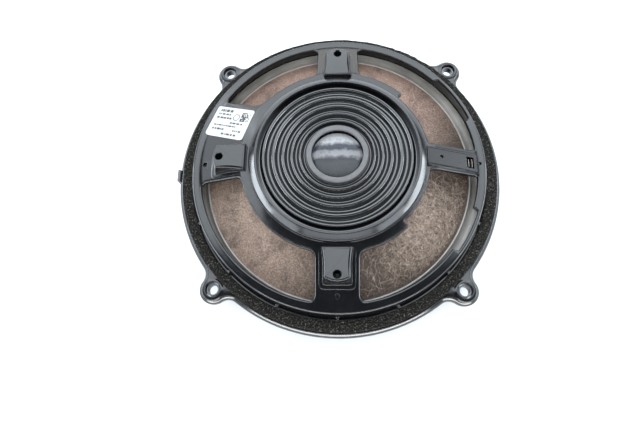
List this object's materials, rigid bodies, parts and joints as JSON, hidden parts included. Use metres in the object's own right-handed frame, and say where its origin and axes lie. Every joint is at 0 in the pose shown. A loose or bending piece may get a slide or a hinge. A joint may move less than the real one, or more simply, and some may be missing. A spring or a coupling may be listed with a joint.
{
  "type": "car subwoofer speaker",
  "caption": "Shallow round car woofer seen from the rear: four-eared flange, foam gasket, windowed basket, corrugated spider, paper cone and a front-mounted motor.",
  "frame": {"origin": "centre of the bounding box at the plane the front face rests on", "axes": "+Z along the coil axis towards the rear of the speaker, +X towards the spoke with the terminal, ears at 45 degrees"},
  "size_m": [0.2291, 0.2274, 0.0593],
  "materials": {
    "basket": "black satin moulded basket with cast-in flange and ears",
    "rear_gasket": "charcoal open-cell foam",
    "label": null,
    "spider": "black resin-impregnated corrugated cloth, slight gloss",
    "collar": "light gray moulded collar",
    "dust_cap": "dark gloss-coated cap with blotchy reflection",
    "cap_seat": "black plastic seat ring",
    "bobbin": "thin aluminium former",
    "voice_coil": "enamelled copper winding",
    "cone": "pinkish-brown pressed paper pulp with pale fibres",
    "surround": "warm gray satin rubber",
    "front_ring": "black moulded clamp ring",
    "bridge": "black powder-coated die casting",
    "yoke": "zinc-plated steel cup",
    "magnet": "nickel-plated rare-earth magnet",
    "shorting_ring": "turned aluminium ring",
    "pole_plate": "zinc-plated steel disc",
    "terminal_block": "black moulded terminal block",
    "ear_bushing_1": "plated steel compression sleeve",
    "ear_bushing_2": "plated steel compression sleeve",
    "ear_bushing_3": "plated steel compression sleeve",
    "ear_bushing_4": "plated steel compression sleeve",
    "motor_screw_1": "plated steel pan head screw",
    "bridge_screw_1": "plated steel pan head screw",
    "motor_screw_2": "plated steel pan head screw",
    "bridge_screw_2": "plated steel pan head screw",
    "motor_screw_3": "plated steel pan head screw",
    "bridge_screw_3": "plated steel pan head screw",
    "motor_screw_4": "plated steel pan head screw",
    "bridge_screw_4": "plated steel pan head screw",
    "terminal_pin_1": "tinned brass blade",
    "tinsel_lead_1": "braided copper tinsel lead",
    "terminal_pin_2": "tinned brass blade",
    "tinsel_lead_2": "braided copper tinsel lead"
  },
  "bodies": {
    "frame": {"basket": "basket", "rear_gasket": "rear_gasket", "label": "label", "front_ring": "front_ring", "bridge": "bridge", "yoke": "yoke", "magnet": "magnet", "shorting_ring": "shorting_ring", "pole_plate": "pole_plate", "terminal_block": "terminal_block", "ear_bushing_1": "ear_bushing_1", "ear_bushing_2": "ear_bushing_2", "ear_bushing_3": "ear_bushing_3", "ear_bushing_4": "ear_bushing_4", "motor_screw_1": "motor_screw_1", "bridge_screw_1": "bridge_screw_1", "motor_screw_2": "motor_screw_2", "bridge_screw_2": "bridge_screw_2", "motor_screw_3": "motor_screw_3", "bridge_screw_3": "bridge_screw_3", "motor_screw_4": "motor_screw_4", "bridge_screw_4": "bridge_screw_4", "terminal_pin_1": "terminal_pin_1", "terminal_pin_2": "terminal_pin_2"},
    "moving_assembly": {"cone": "cone", "spider": "spider", "surround": "surround", "collar": "collar", "dust_cap": "dust_cap", "cap_seat": "cap_seat", "bobbin": "bobbin", "voice_coil": "voice_coil", "tinsel_lead_1": "tinsel_lead_1", "tinsel_lead_2": "tinsel_lead_2"}
  },
  "joints": [
    {"name": "cone_travel", "type": "slide", "parent": "frame", "child": "moving_assembly", "axis": [0, 0, 1], "range_m": [-0.008, 0.008], "stiffness_N_per_m": 2500, "deforming": ["spider", "surround", "tinsel_lead_1", "tinsel_lead_2"]}
  ]
}
